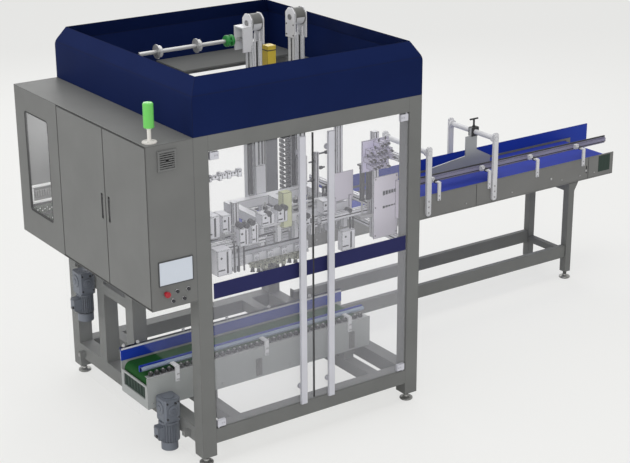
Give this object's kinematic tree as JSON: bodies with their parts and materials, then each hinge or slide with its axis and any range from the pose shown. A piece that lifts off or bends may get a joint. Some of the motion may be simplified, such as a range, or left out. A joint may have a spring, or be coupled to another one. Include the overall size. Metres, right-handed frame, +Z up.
{
  "type": "drop case packer",
  "caption": "Drop case packer: a framed cell with a navy roof hood, clear doors and a side cabinet, fed by a belt conveyor and cleared by a low case conveyor.",
  "frame": {"origin": "on the floor under the centre of the front left post's levelling foot", "axes": "+X along the machine's front towards the infeed conveyor, +Y from the front to the back, +Z up"},
  "size_m": [5.08, 1.844, 2.61],
  "materials": {
    "frame_grey": "satin powder coat",
    "cabinet_grey": "satin powder coat",
    "hood_navy": "satin powder coat",
    "clear_panel": "clear acrylic",
    "window_clear": "clear acrylic",
    "door_steel": "brushed",
    "zinc_steel": "zinc plated",
    "plate_steel": "fine brushed stainless steel",
    "white_guide": "satin",
    "belt_blue": "matte",
    "guard_blue": "satin",
    "belt_green": "matte",
    "roller_steel": "turned",
    "foot_steel": "zinc plated",
    "screen_glass": "glossy",
    "button_black": "glossy",
    "stop_red": "glossy",
    "filter_grey": "matte",
    "beacon_white": "glossy",
    "beacon_green": "glossy",
    "motor_grey": "painted casting",
    "profile_aluminium": "anodised",
    "head_white": "satin",
    "motor_yellow": "satin",
    "guide_rail_grey": "satin"
  },
  "bodies": {
    "machine": {"beacon_lamp": "beacon_green", "beacon_pole": "beacon_white", "belt_rollers": "roller_steel", "cabinet_back": "cabinet_grey", "cabinet_bottom": "cabinet_grey", "cabinet_front_end": "cabinet_grey", "cabinet_partition": "cabinet_grey", "cabinet_rear_end": "cabinet_grey", "cabinet_top": "cabinet_grey", "case_belt": "belt_green", "case_guides": "guard_blue", "case_side_plates": "plate_steel", "case_supports": "frame_grey", "clear_guards": "clear_panel", "divider_plate": "plate_steel", "drive_shaft": "roller_steel", "drop_head": "profile_aluminium", "fan_filter": "filter_grey", "far_guard": "guard_blue", "first_gantry": "white_guide", "front_bottom_rail": "frame_grey", "front_left_post": "frame_grey", "front_right_post": "frame_grey", "front_top_rail": "frame_grey", "gear_motors": "motor_grey", "guide_brackets": "white_guide", "hinge_pins": "zinc_steel", "hood_front": "hood_navy", "hood_left": "hood_navy", "hood_rear": "hood_navy", "hood_right": "hood_navy", "infeed_belt": "belt_blue", "infeed_side_plates": "plate_steel", "infeed_stand": "frame_grey", "left_side_frame": "frame_grey", "left_top_rail": "frame_grey", "levelling_feet": "foot_steel", "lift_columns": "profile_aluminium", "lift_motor": "motor_yellow", "near_guide_rail": "guide_rail_grey", "pulley_heads": "head_white", "push_buttons": "button_black", "rear_bottom_rail": "frame_grey", "rear_left_post": "frame_grey", "rear_right_post": "frame_grey", "rear_top_rail": "frame_grey", "right_bottom_rail": "frame_grey", "right_top_rail": "frame_grey", "roof_beams": "frame_grey", "second_gantry": "white_guide", "stop_button": "stop_red", "touch_screen": "screen_glass", "window_pane": "window_clear", "window_panel": "cabinet_grey"},
    "left_leaf": {"left_door": "clear_panel", "left_door_fittings": "door_steel"},
    "right_leaf": {"right_door": "clear_panel", "right_door_fittings": "door_steel"},
    "front_cabinet_leaf": {"front_cabinet_door": "cabinet_grey"},
    "rear_cabinet_leaf": {"rear_cabinet_door": "cabinet_grey"}
  },
  "joints": [
    {"name": "left_door_swing", "type": "hinge", "parent": "machine", "child": "left_leaf", "pos_m": [0.07, -0.042, 0], "axis": [0, 0, -1], "range_deg": [0, 100]},
    {"name": "right_door_swing", "type": "hinge", "parent": "machine", "child": "right_leaf", "pos_m": [1.53, -0.042, 0], "axis": [0, 0, 1], "range_deg": [0, 100]},
    {"name": "front_cabinet_door_swing", "type": "hinge", "parent": "machine", "child": "front_cabinet_leaf", "pos_m": [-0.356, -0.028, 0], "axis": [0, 0, 1], "range_deg": [0, 110]},
    {"name": "rear_cabinet_door_swing", "type": "hinge", "parent": "machine", "child": "rear_cabinet_leaf", "pos_m": [-0.356, 1.102, 0], "axis": [0, 0, -1], "range_deg": [0, 110]}
  ]
}
